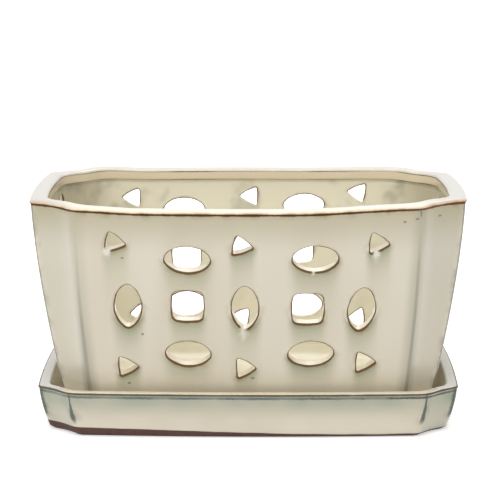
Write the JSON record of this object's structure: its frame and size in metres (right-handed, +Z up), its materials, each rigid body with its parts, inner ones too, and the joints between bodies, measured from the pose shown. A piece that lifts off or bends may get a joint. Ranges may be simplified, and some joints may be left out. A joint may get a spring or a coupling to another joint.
{
  "type": "slotted orchid pot",
  "caption": "Rectangular glazed ceramic orchid pot with scooped corners and slotted walls, standing in a matching drip tray.",
  "frame": {"origin": "on the ground, under the middle of the tray", "axes": "+X along the long sides, +Y from the front long side to the back one, +Z up"},
  "size_m": [0.254, 0.159, 0.137],
  "materials": {
    "pot_glaze": "gloss cream glaze that breaks to brown on the edges",
    "tray_glaze": "gloss cream glaze over a bare clay foot"
  },
  "bodies": {
    "tray": {"drip_tray": "tray_glaze"},
    "pot": {"orchid_pot": "pot_glaze"}
  },
  "joints": [
    {"name": "pot_lift", "type": "slide", "parent": "tray", "child": "pot", "axis": [0, 0, 1], "range_m": [0, 0.08]}
  ]
}
